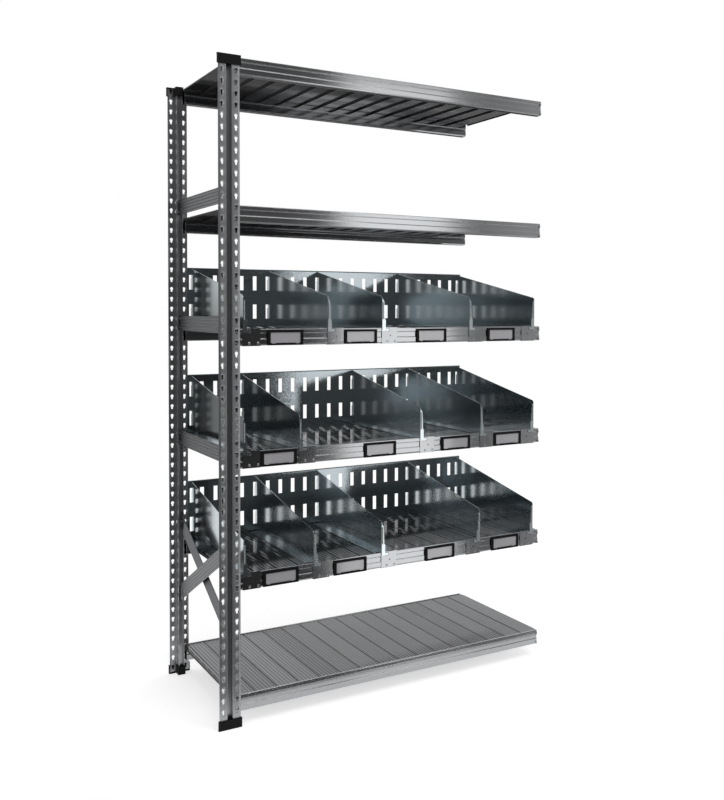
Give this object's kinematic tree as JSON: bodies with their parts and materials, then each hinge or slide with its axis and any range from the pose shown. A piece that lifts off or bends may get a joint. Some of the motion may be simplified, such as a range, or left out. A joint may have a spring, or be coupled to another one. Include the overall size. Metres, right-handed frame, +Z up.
{
  "type": "divider shelving",
  "caption": "Bay of bolt-free galvanised steel shelving with one side frame, ribbed decks, slotted back panels, hook-in sloping dividers, front clips and label holders.",
  "frame": {"origin": "on the floor, under the middle of the bounding box", "axes": "+Z up, -Y to the front where the goods are taken out, -X to the side frame and +X to the free end"},
  "size_m": [1.2132, 0.506, 1.9998],
  "materials": {
    "galvanised": "bright galvanised",
    "galvanised_sheet": "satin galvanised sheet",
    "black_plastic": "fine matt",
    "card": "matt"
  },
  "bodies": {
    "bay": {"front_upright": "galvanised", "rear_upright": "galvanised", "lower_side_tie": "galvanised", "middle_side_tie": "galvanised", "upper_side_tie": "galvanised", "rising_brace": "galvanised", "falling_brace": "galvanised", "brace_bolts": "galvanised", "divider_clips": "galvanised", "top_caps": "black_plastic", "feet": "black_plastic", "label_holders": "black_plastic", "front_beam_1": "galvanised", "rear_beam_1": "galvanised", "deck_1": "galvanised_sheet", "front_beam_2": "galvanised", "rear_beam_2": "galvanised", "deck_2": "galvanised_sheet", "front_beam_3": "galvanised", "rear_beam_3": "galvanised", "deck_3": "galvanised_sheet", "front_beam_4": "galvanised", "rear_beam_4": "galvanised", "deck_4": "galvanised_sheet", "front_beam_5": "galvanised", "rear_beam_5": "galvanised", "deck_5": "galvanised_sheet", "front_beam_6": "galvanised", "rear_beam_6": "galvanised", "deck_6": "galvanised_sheet", "back_panel_2": "galvanised_sheet", "back_panel_3": "galvanised_sheet", "back_panel_4": "galvanised_sheet"},
    "divider_2_1": {"divider_2_1": "galvanised_sheet"},
    "divider_2_2": {"divider_2_2": "galvanised_sheet"},
    "divider_2_3": {"divider_2_3": "galvanised_sheet"},
    "divider_2_4": {"divider_2_4": "galvanised_sheet"},
    "divider_2_5": {"divider_2_5": "galvanised_sheet"},
    "divider_3_1": {"divider_3_1": "galvanised_sheet"},
    "divider_3_2": {"divider_3_2": "galvanised_sheet"},
    "divider_3_3": {"divider_3_3": "galvanised_sheet"},
    "divider_3_4": {"divider_3_4": "galvanised_sheet"},
    "divider_3_5": {"divider_3_5": "galvanised_sheet"},
    "divider_4_1": {"divider_4_1": "galvanised_sheet"},
    "divider_4_2": {"divider_4_2": "galvanised_sheet"},
    "divider_4_3": {"divider_4_3": "galvanised_sheet"},
    "divider_4_4": {"divider_4_4": "galvanised_sheet"},
    "divider_4_5": {"divider_4_5": "galvanised_sheet"},
    "label_card_2_1": {"label_card_2_1": "card"},
    "label_card_2_2": {"label_card_2_2": "card"},
    "label_card_2_3": {"label_card_2_3": "card"},
    "label_card_2_4": {"label_card_2_4": "card"},
    "label_card_3_1": {"label_card_3_1": "card"},
    "label_card_3_2": {"label_card_3_2": "card"},
    "label_card_3_3": {"label_card_3_3": "card"},
    "label_card_3_4": {"label_card_3_4": "card"},
    "label_card_4_1": {"label_card_4_1": "card"},
    "label_card_4_2": {"label_card_4_2": "card"},
    "label_card_4_3": {"label_card_4_3": "card"},
    "label_card_4_4": {"label_card_4_4": "card"}
  },
  "joints": [
    {"name": "divider_2_1_lift", "type": "slide", "parent": "bay", "child": "divider_2_1", "axis": [0, 0, 1], "range_m": [0, 0.012]},
    {"name": "divider_2_2_lift", "type": "slide", "parent": "bay", "child": "divider_2_2", "axis": [0, 0, 1], "range_m": [0, 0.012]},
    {"name": "divider_2_3_lift", "type": "slide", "parent": "bay", "child": "divider_2_3", "axis": [0, 0, 1], "range_m": [0, 0.012]},
    {"name": "divider_2_4_lift", "type": "slide", "parent": "bay", "child": "divider_2_4", "axis": [0, 0, 1], "range_m": [0, 0.012]},
    {"name": "divider_2_5_lift", "type": "slide", "parent": "bay", "child": "divider_2_5", "axis": [0, 0, 1], "range_m": [0, 0.012]},
    {"name": "divider_3_1_lift", "type": "slide", "parent": "bay", "child": "divider_3_1", "axis": [0, 0, 1], "range_m": [0, 0.012]},
    {"name": "divider_3_2_lift", "type": "slide", "parent": "bay", "child": "divider_3_2", "axis": [0, 0, 1], "range_m": [0, 0.012]},
    {"name": "divider_3_3_lift", "type": "slide", "parent": "bay", "child": "divider_3_3", "axis": [0, 0, 1], "range_m": [0, 0.012]},
    {"name": "divider_3_4_lift", "type": "slide", "parent": "bay", "child": "divider_3_4", "axis": [0, 0, 1], "range_m": [0, 0.012]},
    {"name": "divider_3_5_lift", "type": "slide", "parent": "bay", "child": "divider_3_5", "axis": [0, 0, 1], "range_m": [0, 0.012]},
    {"name": "divider_4_1_lift", "type": "slide", "parent": "bay", "child": "divider_4_1", "axis": [0, 0, 1], "range_m": [0, 0.012]},
    {"name": "divider_4_2_lift", "type": "slide", "parent": "bay", "child": "divider_4_2", "axis": [0, 0, 1], "range_m": [0, 0.012]},
    {"name": "divider_4_3_lift", "type": "slide", "parent": "bay", "child": "divider_4_3", "axis": [0, 0, 1], "range_m": [0, 0.012]},
    {"name": "divider_4_4_lift", "type": "slide", "parent": "bay", "child": "divider_4_4", "axis": [0, 0, 1], "range_m": [0, 0.012]},
    {"name": "divider_4_5_lift", "type": "slide", "parent": "bay", "child": "divider_4_5", "axis": [0, 0, 1], "range_m": [0, 0.012]},
    {"name": "label_card_2_1_draw", "type": "slide", "parent": "bay", "child": "label_card_2_1", "axis": [0, 0, 1], "range_m": [0, 0.036]},
    {"name": "label_card_2_2_draw", "type": "slide", "parent": "bay", "child": "label_card_2_2", "axis": [0, 0, 1], "range_m": [0, 0.036]},
    {"name": "label_card_2_3_draw", "type": "slide", "parent": "bay", "child": "label_card_2_3", "axis": [0, 0, 1], "range_m": [0, 0.036]},
    {"name": "label_card_2_4_draw", "type": "slide", "parent": "bay", "child": "label_card_2_4", "axis": [0, 0, 1], "range_m": [0, 0.036]},
    {"name": "label_card_3_1_draw", "type": "slide", "parent": "bay", "child": "label_card_3_1", "axis": [0, 0, 1], "range_m": [0, 0.036]},
    {"name": "label_card_3_2_draw", "type": "slide", "parent": "bay", "child": "label_card_3_2", "axis": [0, 0, 1], "range_m": [0, 0.036]},
    {"name": "label_card_3_3_draw", "type": "slide", "parent": "bay", "child": "label_card_3_3", "axis": [0, 0, 1], "range_m": [0, 0.036]},
    {"name": "label_card_3_4_draw", "type": "slide", "parent": "bay", "child": "label_card_3_4", "axis": [0, 0, 1], "range_m": [0, 0.036]},
    {"name": "label_card_4_1_draw", "type": "slide", "parent": "bay", "child": "label_card_4_1", "axis": [0, 0, 1], "range_m": [0, 0.036]},
    {"name": "label_card_4_2_draw", "type": "slide", "parent": "bay", "child": "label_card_4_2", "axis": [0, 0, 1], "range_m": [0, 0.036]},
    {"name": "label_card_4_3_draw", "type": "slide", "parent": "bay", "child": "label_card_4_3", "axis": [0, 0, 1], "range_m": [0, 0.036]},
    {"name": "label_card_4_4_draw", "type": "slide", "parent": "bay", "child": "label_card_4_4", "axis": [0, 0, 1], "range_m": [0, 0.036]}
  ]
}
